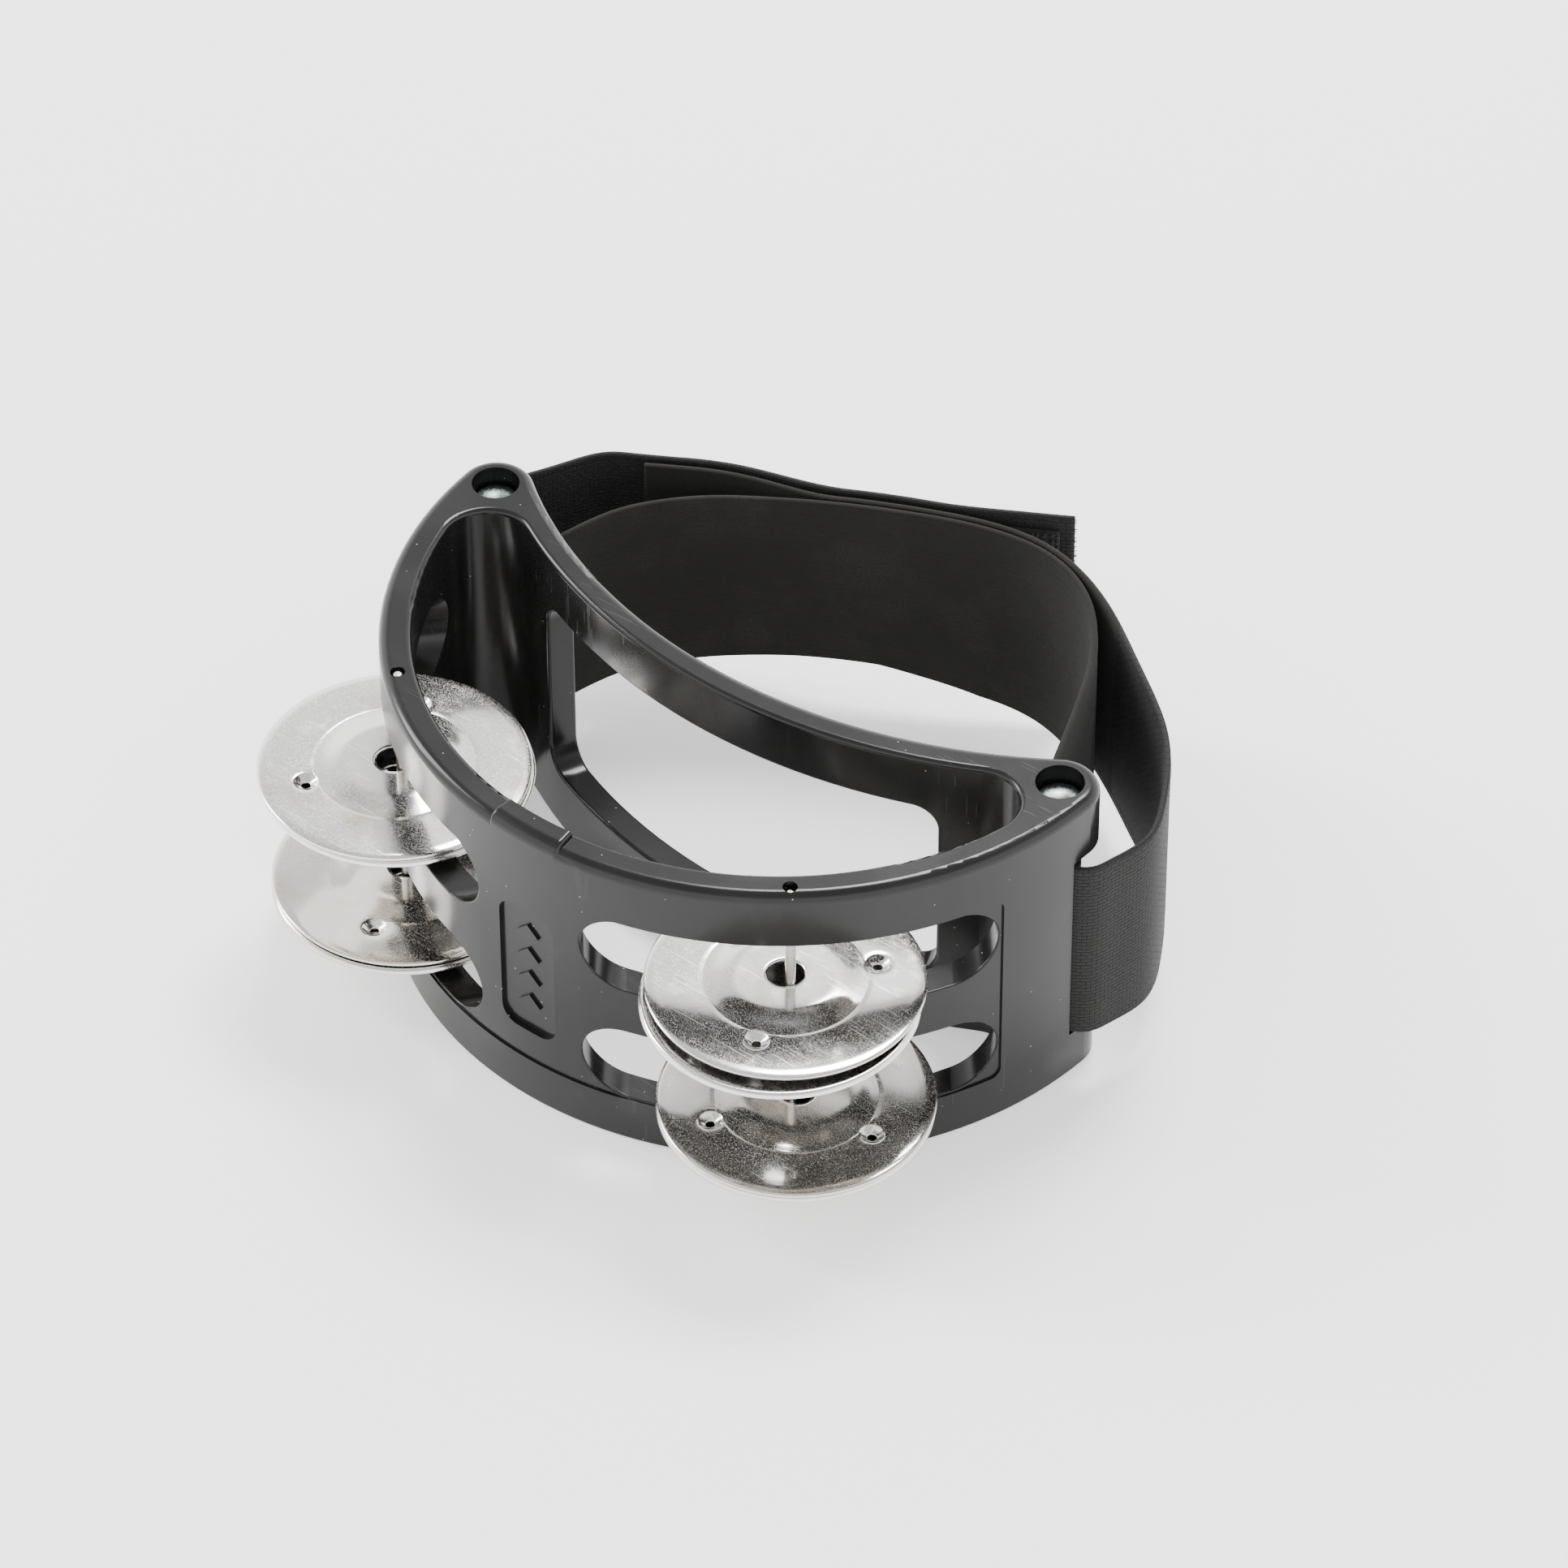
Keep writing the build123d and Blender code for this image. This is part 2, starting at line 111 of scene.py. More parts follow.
class Shader:
    """A material's node tree, with short calls for the nodes that the finishes share."""

    def __init__(self, name: str) -> None:
        """Start a material with one Principled surface.

        Args:
            name: The material's name.
        """
        self.material = bpy.data.materials.new(name)
        self.material.use_nodes = True
        self.tree = self.material.node_tree
        self.surface = self.tree.nodes["Principled BSDF"]

    def set(self, **values: object) -> None:
        """Set sockets of the surface, named with underscores for spaces.

        Args:
            values: Socket names and the uniform values that they take.
        """
        for socket, value in values.items():
            self.surface.inputs[socket.replace("_", " ")].default_value = value

    def node(self, kind: str, **settings: object) -> bpy.types.Node:
        """Add a node and set its properties.

        Args:
            kind: The node's type, without its ShaderNode prefix.
            settings: Properties of the node.

        Returns:
            The new node.
        """
        made = self.tree.nodes.new("ShaderNode" + kind)
        for setting, value in settings.items():
            setattr(made, setting, value)
        return made

    def join(self, output: Socket, target: Socket) -> None:
        """Link an output to an input."""
        self.tree.links.new(output, target)

    def paint(self, colour: Socket) -> None:
        """Give the surface a colour pattern."""
        self.join(colour, self.surface.inputs["Base Color"])

    def polish(self, gloss: Socket) -> None:
        """Give the surface a roughness pattern."""
        self.join(gloss, self.surface.inputs["Roughness"])

    def place(self, scale: Sequence[float] = (1, 1, 1), turn: float = 0.0,
              centre: Sequence[float] = (0, 0, 0), on_cloth: bool = False) -> Socket:
        """Coordinates on the piece, moved, turned about Z and scaled.

        Args:
            scale: Scale along each axis.
            turn: Turn about Z in degrees.
            centre: Point that becomes the pattern's origin.
            on_cloth: Whether to follow the piece's UV map rather than its own axes.

        Returns:
            The coordinates' socket.
        """
        source = self.node("UVMap") if on_cloth else self.node("TexCoord")
        start = source.outputs[0 if on_cloth else "Object"]
        moved = self.node("Mapping")
        moved.inputs["Location"].default_value = tuple(-value for value in centre)
        self.join(start, moved.inputs["Vector"])
        turned = self.node("Mapping")
        turned.inputs["Rotation"].default_value = (0, 0, radians(turn))
        turned.inputs["Scale"].default_value = tuple(scale)
        self.join(moved.outputs["Vector"], turned.inputs["Vector"])
        return turned.outputs["Vector"]

    def noise(self, where: Socket, scale: float, detail: float = 3.0, roughness: float = 0.5) -> Socket:
        """Soft noise.

        Args:
            where: Coordinates to read.
            scale: Number of features to a unit.
            detail: Number of finer layers.
            roughness: Strength of the finer layers.

        Returns:
            The noise's value, about 0.5.
        """
        made = self.node("TexNoise")
        self.join(where, made.inputs["Vector"])
        made.inputs["Scale"].default_value = scale
        made.inputs["Detail"].default_value = detail
        made.inputs["Roughness"].default_value = roughness
        return made.outputs[0]

    def fit(self, value: Socket, low: float, high: float, first: float = 0.0,
            last: float = 1.0) -> Socket:
        """Clamp a value between two limits and stretch it over a new range.

        Args:
            value: The value to stretch.
            low: Value that gives first.
            high: Value that gives last.
            first: Result at low.
            last: Result at high.

        Returns:
            The stretched value.
        """
        made = self.node("MapRange", clamp=True, interpolation_type="SMOOTHSTEP")
        self.join(value, made.inputs["Value"])
        for socket, number in zip(("From Min", "From Max", "To Min", "To Max"), (low, high, first, last)):
            made.inputs[socket].default_value = number
        return made.outputs["Result"]

    def math(self, operation: str, first: Socket, second: Socket | float) -> Socket:
        """Combine two values.

        Args:
            operation: Name of the operation.
            first: The first value.
            second: The second value, or a number.

        Returns:
            The result.
        """
        made = self.node("Math", operation=operation)
        self.join(first, made.inputs[0])
        if isinstance(second, (int, float)):
            made.inputs[1].default_value = second
        else:
            self.join(second, made.inputs[1])
        return made.outputs[0]

    def tint(self, share: Socket, first: Colour | Socket, last: Colour) -> Socket:
        """Mix two colours.

        Args:
            share: Share of the last colour.
            first: The first colour, or a socket that gives it.
            last: The last colour.

        Returns:
            The mixed colour.
        """
        made = self.node("Mix", data_type="RGBA")
        self.join(share, made.inputs[0])
        if isinstance(first, tuple):
            made.inputs[6].default_value = (*first, 1)
        else:
            self.join(first, made.inputs[6])
        made.inputs[7].default_value = (*last, 1)
        return made.outputs[2]

    def bump(self, height: Socket, depth: float, strength: float = 1.0) -> None:
        """Roughen the surface, on top of any bump that it already has.

        Args:
            height: Height pattern from 0 to 1.
            depth: Height of the pattern in metres.
            strength: Strength of the effect.
        """
        made = self.node("Bump")
        made.inputs["Distance"].default_value = depth
        made.inputs["Strength"].default_value = strength
        self.join(height, made.inputs["Height"])
        normal = self.surface.inputs["Normal"]
        if normal.is_linked:
            self.join(normal.links[0].from_socket, made.inputs["Normal"])
        self.join(made.outputs["Normal"], normal)

    def hairlines(self, turn: float, length: float, width: float, amount: float) -> Socket:
        """Long thin scratches that lie one way.

        Args:
            turn: Way that they lie, in degrees about Z.
            length: Features to a metre along them.
            width: Features to a metre across them.
            amount: Share of the surface that they cover, about 0.02.

        Returns:
            Value that is 1 on a scratch.
        """
        pattern = self.noise(self.place((length, width, length), turn), 1.0, 1.0)
        return self.fit(pattern, 0.72 - amount, 0.76 - amount)


@dataclass(frozen=True)
class MouldedPlastic:
    """Gloss black moulding, handled and a little dusty."""

    colour: Colour = (0.0062, 0.006, 0.0058)
    worn_colour: Colour = (0.017, 0.0168, 0.0165)
    dust_colour: Colour = (0.32, 0.31, 0.3)
    gloss: float = 0.19
    worn_gloss: float = 0.34
    shine: float = 0.3
    dust_spacing: float = 2.6 * MM
    cloud_share: float = 0.25
    scuff_share: float = 0.5
    scuff_depth: float = 0.002 * MM
    ripple_depth: float = 0.01 * MM

    def material(self) -> Material:
        """Make the material.

        Returns:
            The finished material.
        """
        shader = Shader("moulded_plastic")
        shader.set(Specular_IOR_Level=self.shine)
        plain = shader.place()
        cloudy = shader.fit(shader.noise(plain, 60, 4), 0.35, 0.7)
        scuffs = shader.math("MAXIMUM", shader.hairlines(20, 60, 2600, 0.055),
                             shader.hairlines(-65, 80, 3000, 0.05))
        scuffs = shader.math("MULTIPLY", scuffs, shader.fit(shader.noise(plain, 45, 2), 0.48, 0.62))
        specks = shader.node("TexVoronoi")
        specks.inputs["Scale"].default_value = 1 / self.dust_spacing
        shader.join(plain, specks.inputs["Vector"])
        speck = shader.fit(specks.outputs["Distance"], 0.035, 0.06, 1.0, 0.0)
        speck = shader.math("MULTIPLY", speck, shader.fit(shader.noise(plain, 170, 0), 0.52, 0.56))
        worn = shader.math("ADD", shader.math("MULTIPLY", cloudy, self.cloud_share),
                           shader.math("MULTIPLY", scuffs, self.scuff_share))
        colour = shader.tint(worn, self.colour, self.worn_colour)
        shader.paint(shader.tint(speck, colour, self.dust_colour))
        rough = shader.math("MAXIMUM", shader.math("MULTIPLY", speck, 0.8), worn)
        shader.polish(shader.fit(rough, 0, 1, self.gloss, self.worn_gloss))
        shader.bump(shader.noise(plain, 300, 1), self.ripple_depth, 0.3)
        shader.bump(scuffs, -self.scuff_depth, 0.5)
        return shader.material


@dataclass(frozen=True)
class PressedNickel:
    """Bright nickel-plated sheet with lathe rings, fine scratches and a trace of tarnish."""

    centre: tuple[float, float, float]
    colour: Colour = (0.78, 0.765, 0.74)
    tarnish: Colour = (0.60, 0.53, 0.45)
    ring_pitch: float = 0.42 * MM
    ring_depth: float = 0.002 * MM
    dent_depth: float = 0.05 * MM
    scratch_depth: float = 0.002 * MM
    scratch_share: float = 0.4
    smear_share: float = 0.35
    gloss: float = 0.13
    scratched_gloss: float = 0.55

    def material(self, name: str) -> Material:
        """Make the material.

        Args:
            name: The material's name.

        Returns:
            The finished material.
        """
        shader = Shader(name)
        shader.set(Metallic=1.0)
        plain = shader.place()
        cloudy = shader.fit(shader.noise(plain, 55, 5, 0.6), 0.5, 0.78)
        shader.paint(shader.tint(cloudy, self.colour, self.tarnish))
        scratches = shader.hairlines(12, 70, 5200, 0.0)
        for turn, length, width in ((-38, 90, 5600), (71, 60, 5000), (128, 80, 5800)):
            scratches = shader.math("MAXIMUM", scratches, shader.hairlines(turn, length, width, 0.0))
        smears = shader.fit(shader.noise(plain, 150, 5, 0.65), 0.42, 0.75, 0.0, self.smear_share)
        grain = shader.fit(shader.noise(plain, 7000, 1), 0.6, 0.66)
        worn = shader.math("MULTIPLY", scratches, self.scratch_share)
        worn = shader.math("MAXIMUM", shader.math("MAXIMUM", worn, smears), grain)
        shader.polish(shader.fit(worn, 0, 1, self.gloss, self.scratched_gloss))
        rings = shader.node("TexWave", wave_type="RINGS", rings_direction="Z")
        rings.inputs["Scale"].default_value = 1 / (RINGS_TO_A_UNIT * self.ring_pitch)
        rings.inputs["Distortion"].default_value = 0.6
        shader.join(shader.place(centre=self.centre), rings.inputs["Vector"])
        shader.bump(rings.outputs["Fac"], self.ring_depth, 0.5)
        shader.bump(shader.noise(plain, 90, 1), self.dent_depth, 0.3)
        shader.bump(scratches, -self.scratch_depth, 0.4)
        return shader.material


@dataclass(frozen=True)
class PlatedSteel:
    """Steel rod with a thin zinc or plain drawn finish."""

    name: str
    colour: Colour = (0.24, 0.285, 0.275)
    stain: Colour = (0.12, 0.135, 0.105)
    gloss: float = 0.24
    gloss_spread: float = 0.16
    drawn_depth: float = 0.006 * MM

    def material(self) -> Material:
        """Make the material.

        Returns:
            The finished material.
        """
        shader = Shader(self.name)
        shader.set(Metallic=1.0)
        plain = shader.place()
        drawn = shader.noise(shader.place((2600, 2600, 40)), 1.0, 2)
        patches = shader.fit(shader.noise(plain, 260, 4), 0.42, 0.7)
        shader.paint(shader.tint(patches, self.colour, self.stain))
        shader.polish(shader.fit(drawn, 0.3, 0.7, self.gloss, self.gloss + self.gloss_spread))
        shader.bump(drawn, self.drawn_depth, 0.5)
        return shader.material


@dataclass(frozen=True)
class WovenWebbing:
    """Black elastic webbing with a coarse staggered weave, read along and across the strap."""

    colour: Colour = (0.0135, 0.0132, 0.0125)
    gap_colour: Colour = (0.0015, 0.0015, 0.0014)
    thread_length: float = 1.7 * MM
    thread_width: float = 0.8 * MM
    gap_share: float = 0.2
    thread_depth: float = 0.24 * MM
    fibre_depth: float = 0.08 * MM
    fuzz: float = 0.05

    def material(self) -> Material:
        """Make the material.

        Returns:
            The finished material.
        """
        shader = Shader("woven_webbing")
        shader.set(Sheen_Weight=self.fuzz, Sheen_Roughness=0.45, Specular_IOR_Level=0.25)
        cloth = shader.place(on_cloth=True)
        weave = shader.node("TexBrick", offset=0.5, offset_frequency=2, squash=1.0)
        for socket, number in (("Scale", 1.0), ("Mortar Size", self.gap_share * self.thread_width),
                               ("Mortar Smooth", 1.0), ("Brick Width", self.thread_length),
                               ("Row Height", self.thread_width)):
            weave.inputs[socket].default_value = number
        shader.join(cloth, weave.inputs["Vector"])
        thread = shader.fit(weave.outputs["Fac"], 0, 1, 1, 0)
        uneven = shader.noise(cloth, 1500, 3, 0.6)
        faded = shader.math("MULTIPLY", thread, shader.fit(uneven, 0.25, 0.75, 0.45, 1.0))
        shader.paint(shader.tint(faded, self.gap_colour, self.colour))
        shader.polish(shader.fit(uneven, 0, 1, 0.62, 0.9))
        shader.bump(thread, self.thread_depth)
        shader.bump(uneven, self.fibre_depth, 0.6)
        return shader.material


@dataclass(frozen=True)
class PlushWebbing:
    """The soft face of the webbing: short black loops that hide the weave."""

    colour: Colour = (0.0135, 0.0132, 0.012)
    worn_colour: Colour = (0.023, 0.0222, 0.020)
    loop_size: float = 0.5 * MM
    loop_depth: float = 0.16 * MM
    rib_depth: float = 0.12 * MM
    fuzz: float = 0.05

    def material(self) -> Material:
        """Make the material.

        Returns:
            The finished material.
        """
        shader = Shader("plush_webbing")
        shader.set(Sheen_Weight=self.fuzz, Sheen_Roughness=0.5, Specular_IOR_Level=0.15, Roughness=0.92)
        cloth = shader.place(on_cloth=True)
        loops = shader.noise(cloth, 1 / self.loop_size, 4, 0.7)
        ribs = shader.noise(shader.place((18, 900, 1), on_cloth=True), 1.0, 2)
        worn = shader.fit(shader.noise(cloth, 60, 5, 0.6), 0.42, 0.72)
        worn = shader.math("MULTIPLY", worn, shader.fit(loops, 0.3, 0.7))
        shader.paint(shader.tint(worn, self.colour, self.worn_colour))
        shader.bump(loops, self.loop_depth, 0.8)
        shader.bump(ribs, self.rib_depth, 0.5)
        return shader.material


@dataclass(frozen=True)
class HookTape:
    """Stiff tape covered in small hooks, with lint caught in it."""

    colour: Colour = (0.006, 0.006, 0.0056)
    lint: Colour = (0.035, 0.033, 0.029)
    hook_pitch: float = 1.3 * MM
    hook_depth: float = 0.3 * MM
    lint_depth: float = 0.1 * MM

    def material(self) -> Material:
        """Make the material.

        Returns:
            The finished material.
        """
        shader = Shader("hook_tape")
        shader.set(Sheen_Weight=0.04, Specular_IOR_Level=0.3, Roughness=0.75)
        cloth = shader.place(on_cloth=True)
        cells = shader.node("TexVoronoi", feature="F1")
        cells.inputs["Scale"].default_value = 1 / self.hook_pitch
        cells.inputs["Randomness"].default_value = 0.35
        shader.join(cloth, cells.inputs["Vector"])
        hooks = shader.fit(cells.outputs["Distance"], 0.12, 0.5, 1.0, 0.0)
        caught = shader.fit(shader.noise(cloth, 320, 5, 0.7), 0.58, 0.74)
        shader.paint(shader.tint(caught, self.colour, self.lint))
        shader.bump(hooks, self.hook_depth, 0.9)
        shader.bump(shader.noise(cloth, 2400, 3), self.lint_depth, 0.6)
        return shader.material


@dataclass(frozen=True)
class StudioFloor:
    """Plain white floor, lit a little from below like a light table."""

    colour: Colour = (0.92, 0.92, 0.92)
    cloud: Colour = (0.9, 0.9, 0.9)
    glow: float = 0.6

    def material(self) -> Material:
        """Make the material.

        Returns:
            The finished material.
        """
        shader = Shader("studio_floor")
        shader.set(Roughness=0.85, Specular_IOR_Level=0.1, Emission_Color=(1, 1, 1, 1),
                   Emission_Strength=self.glow)
        even = shader.fit(shader.noise(shader.place(), 3, 2), 0, 1)
        shader.paint(shader.tint(even, self.colour, self.cloud))
        return shader.material


# ---- helpers


def heading(angle: float) -> Vector:
    """Unit vector in plan, in degrees anticlockwise from +X."""
    return Vector((cos(radians(angle)), sin(radians(angle))))


def corners(node: str) -> tuple[Vector, Vector]:
    """Lowest and highest corners of a node's box."""
    low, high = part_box(node)
    return Vector(low), Vector(high)


def add_piece(name: str, made: bmesh.types.BMesh, materials: Sequence[Material]) -> bpy.types.Object:
    """Turn a finished bmesh into a smooth-shaded object at the origin.

    Args:
        name: The piece's name.
        made: The bmesh, which is freed.
        materials: Materials in the order of the faces' indices.

    Returns:
        The new object.
    """
    mesh = bpy.data.meshes.new(name)
    for face in made.faces:
        face.smooth = True
    made.to_mesh(mesh)
    made.free()
    for material in materials:
        mesh.materials.append(material)
    piece = bpy.data.objects.new(name, mesh)
    bpy.context.scene.collection.objects.link(piece)
    log.info("%s: %d faces", name, len(mesh.polygons))
    return piece


def repaint(node: str, material: Material) -> None:
    """Give a CAD node a new finish.

    Args:
        node: The node's name.
        material: The finish.
    """
    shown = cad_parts[node]
    for spot in shown.material_slots:
        spot.material = material
    log.info("%s: finish %s", node, material.name)


def spin_profile(profile: Sequence[tuple[float, float]], steps: int) -> bmesh.types.BMesh:
    """Turn a profile about the Z axis.

    Args:
        profile: Points as radius and height.
        steps: Number of steps round.

    Returns:
        The turned surface.
    """
    made = bmesh.new()
    row = [made.verts.new((radius, 0, height)) for radius, height in profile]
    for first, second in zip(row, row[1:]):
        made.edges.new((first, second))
    bmesh.ops.spin(made, geom=made.verts[:] + made.edges[:], cent=(0, 0, 0), axis=(0, 0, 1),
                   angle=2 * pi, steps=steps, use_merge=True)
    bmesh.ops.remove_doubles(made, verts=made.verts[:], dist=MERGE)
    bmesh.ops.recalc_face_normals(made, faces=made.faces[:])
    return made


# ---- frame and steel


@dataclass
class Moulding:
    """The one-piece crescent frame, shown as it was cut."""

    finish: MouldedPlastic = MouldedPlastic()

    def dress(self) -> None:
        """Give the moulding its plastic."""
        repaint("frame", self.finish.material())


@dataclass
class SteelWork:
    """Strap posts and jingle pins."""

    post_chamfer: float = 0.7 * MM
    lathe_centre_depth: float = 0.3 * MM
    lathe_centre_tip: float = 0.0001 * MM
    post_steps: int = 64
    post_finish: PlatedSteel = PlatedSteel("zinc_plated_steel")
    pin_finish: PlatedSteel = PlatedSteel(
        "drawn_steel", colour=(0.62, 0.60, 0.57), stain=(0.42, 0.38, 0.33), gloss=0.2)

    def build(self) -> None:
        """Model the posts and dress the pins."""
        zinc = self.post_finish.material()
        drawn = self.pin_finish.material()
        for side in Side:
            self.post(side, zinc)
            repaint(f"jingle_pin_{side.word}", drawn)

    def post(self, side: Side, material: Material) -> None:
        """One post, turned with a dished lathe centre and a rounded edge.

        Args:
            side: Which horn it stands in.
            material: Its finish.
        """
        node = f"strap_post_{side.word}"
        low, high = corners(node)
        centre = (low + high) / 2
        radius = (high.x - low.x) / 2
        top = high.z
        edge = self.post_chamfer
        profile = [(self.lathe_centre_tip, low.z), (radius - edge, low.z), (radius, low.z + edge)]
        profile += [(radius, low.z + (top - low.z) * share) for share in (0.25, 0.5, 0.75)]
        profile += [(radius, top - edge)]
        profile += [(radius - edge + edge * cos(radians(angle)), top - edge + edge * sin(radians(angle)))
                    for angle in (20, 40, 60, 80)]
        profile += [(0.55 * radius, top), (0.3 * radius, top - 0.4 * self.lathe_centre_depth),
                    (self.lathe_centre_tip, top - self.lathe_centre_depth)]
        made = spin_profile(profile, self.post_steps)
        bmesh.ops.translate(made, verts=made.verts[:], vec=(centre.x, centre.y, 0))
        piece = add_piece(f"turned_post_{side.word}", made, [material])
        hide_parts(node)
        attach(piece, Body.FRAME)


# ---- jingles


@dataclass
class Jingle:
    """Pressed jingle: a raised hub, a flat ring with three pierced dimples, and a rolled rim."""

    radius: float = 25.0 * MM
    hole_radius: float = 3.4 * MM
    sheet: float = 0.5 * MM
    height: float = 2.6 * MM
    hub_radius: float = 9.0 * MM
    ring_start: float = 14.5 * MM
    ring_height: float = 1.7 * MM
    rim_start: float = 22.6 * MM
    dimple_circle: float = 16.6 * MM
    dimple_depth: float = 1.2 * MM
    dimple_hole: float = 0.8 * MM
    dimple_lip: float = 3.5 * MM
    dimple_bowl: float = 2.3 * MM
    ring_fall: float = 0.18 * MM
    rim_curl: float = 0.95 * MM
    dimple_count: int = 3
    steps: int = 144

    def profile(self) -> list[tuple[float, float]]:
        """Outer surface from the hole to the rim, as radius and height.

        Returns:
            Points of the turned profile.
        """
        hub = [(self.hole_radius + share * (self.hub_radius - self.hole_radius), self.height)
               for share in (0.0, 0.12, 0.35, 0.6, 0.82, 0.95)]
        fall = self.height - self.ring_height
        slope = []
        for share in (0.08, 0.2, 0.36, 0.52, 0.68, 0.84, 0.95):
            eased = share * share * (3 - 2 * share)
            slope.append((self.hub_radius + share * (self.ring_start - self.hub_radius),
                          self.height - fall * eased))
        crease = [(self.ring_start, self.ring_height - 0.03 * MM),
                  (self.ring_start + 0.15 * MM, self.ring_height - 0.05 * MM),
                  (self.ring_start + 0.35 * MM, self.ring_height)]
        ring = [(self.ring_start + share * (self.rim_start - self.ring_start),
                 self.ring_height - self.ring_fall * share**2)
                for share in (0.14, 0.24, 0.34, 0.44, 0.54, 0.64, 0.74, 0.84, 0.94)]
        roll = []
        fall = self.ring_height - self.ring_fall - self.rim_curl
        for angle in range(0, 90, 10):
            out = (self.radius - self.rim_start) * sin(radians(angle))
            roll.append((self.rim_start + out, self.rim_curl + fall * cos(radians(angle)) ** 0.9))
        curl = [(self.radius - inset * MM, share * self.rim_curl)
                for inset, share in ((0.04, 0.85), (0.2, 0.55), (0.5, 0.22), (0.95, 0.0))]
        return hub + slope + crease + ring + roll + curl

    def dimple_centres(self) -> list[Vector]:
        """Places of the dimples in plan."""
        return [heading(360 * number / self.dimple_count) * self.dimple_circle
                for number in range(self.dimple_count)]

    def press_dimples(self, made: bmesh.types.BMesh) -> None:
        """Refine the sheet at each dimple, pierce it and press it down.

        Args:
            made: The turned sheet.
        """
        for centre in self.dimple_centres():
            for reach in (1.15 * self.dimple_lip, self.dimple_lip):
                near = [face for face in made.faces
                        if (face.calc_center_median().xy - centre).length < reach]
                edges = list({edge for face in near for edge in face.edges})
                bmesh.ops.subdivide_edges(made, edges=edges, cuts=1, use_grid_fill=True)
            pierced = [face for face in made.faces
                       if (face.calc_center_median().xy - centre).length < self.dimple_hole]
            bmesh.ops.delete(made, geom=pierced, context="FACES")
            for vertex in made.verts:
                away = vertex.co.xy - centre
                if vertex.is_boundary and away.length < 1.6 * self.dimple_hole:
                    vertex.co.xy = centre + away.normalized() * self.dimple_hole
                away = vertex.co.xy - centre
                if away.length < self.dimple_lip:
                    vertex.co.z -= self.dent(away.length)

    def dent(self, away: float) -> float:
        """Depth of a dimple this far from its centre.

        Args:
            away: Distance in plan from the centre.

        Returns:
            Depth below the sheet.
        """
        soft = (1 + cos(pi * away / self.dimple_lip)) / 2
        bowl = max(0.0, 1 - (away / self.dimple_bowl) ** 2)
        return self.dimple_depth * (0.25 * soft + 0.75 * bowl)

    def sheet_metal(self) -> bmesh.types.BMesh:
        """One jingle, rim down on Z = 0 and centred on the Z axis.

        Returns:
            The pressed sheet, with its thickness.
        """
        made = spin_profile(self.profile(), self.steps)
        if sum(face.normal.z for face in made.faces) < 0:
            bmesh.ops.reverse_faces(made, faces=made.faces[:])
        self.press_dimples(made)
        bmesh.ops.smooth_vert(made, verts=[v for v in made.verts if self.in_dimple(v)], factor=0.35,
                              use_axis_x=False, use_axis_y=False, use_axis_z=True)
        bmesh.ops.solidify(made, geom=made.faces[:], thickness=self.sheet)
        bmesh.ops.recalc_face_normals(made, faces=made.faces[:])
        return made

    def in_dimple(self, vertex: bmesh.types.BMVert) -> bool:
        """Whether a vertex lies in a dimple, away from its pierced hole."""
        return any(1.2 * self.dimple_hole < (vertex.co.xy - centre).length < 1.1 * self.dimple_lip
                   for centre in self.dimple_centres())


# Painted shade: the lower row's nickel is painted darker and warmer than the upper row's, though both are
# the same sheet.
SHEET_TONES_LOWER_SHADED: dict[Row, Colour] = {Row.LOWER: (0.71, 0.685, 0.645), Row.UPPER: (0.78, 0.768, 0.75)}


@dataclass
class JinglePair:
    """Two jingles face to face on one pin."""

    side: Side
    row: Row
    turns: dict[Place, float]
    pattern: Jingle = field(default_factory=Jingle)

    def build(self) -> None:
        """Model both jingles where the row rests."""
        for place in Place:
            self.jingle(place)

    def jingle(self, place: Place) -> None:
        """One jingle: the bottom one lies hub down, the top one rim to rim on it.

        Args:
            place: Which of the pair it is.
        """
        node = f"jingle_{self.side.word}_{self.row.value}_{place.value}"
        low, high = corners(node)
        centre = (low + high) / 2
        made = self.pattern.sheet_metal()
        turn = Matrix.Rotation(radians(self.turns[place]), 4, "Z")
        flip, lift = Matrix.Identity(4), 0.0
        if place is Place.BOTTOM:
            flip, lift = Matrix.Rotation(pi, 4, "X"), self.pattern.height
        move = Matrix.Translation((centre.x, centre.y, low.z + lift))
        bmesh.ops.transform(made, matrix=move @ turn @ flip, verts=made.verts[:])
        # The row's colour carries painted shade on the lower row.
        nickel = PressedNickel(centre=(centre.x, centre.y, 0), colour=SHEET_TONES_LOWER_SHADED[self.row])
        finish = nickel.material(f"pressed_nickel_{node.removeprefix('jingle_')}")
        piece = add_piece(f"pressed_{node}", made, [finish])
        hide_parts(node)
        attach(piece, f"{self.side.word}_{self.row.value}_{place.value}_jingle")


# ---- strap


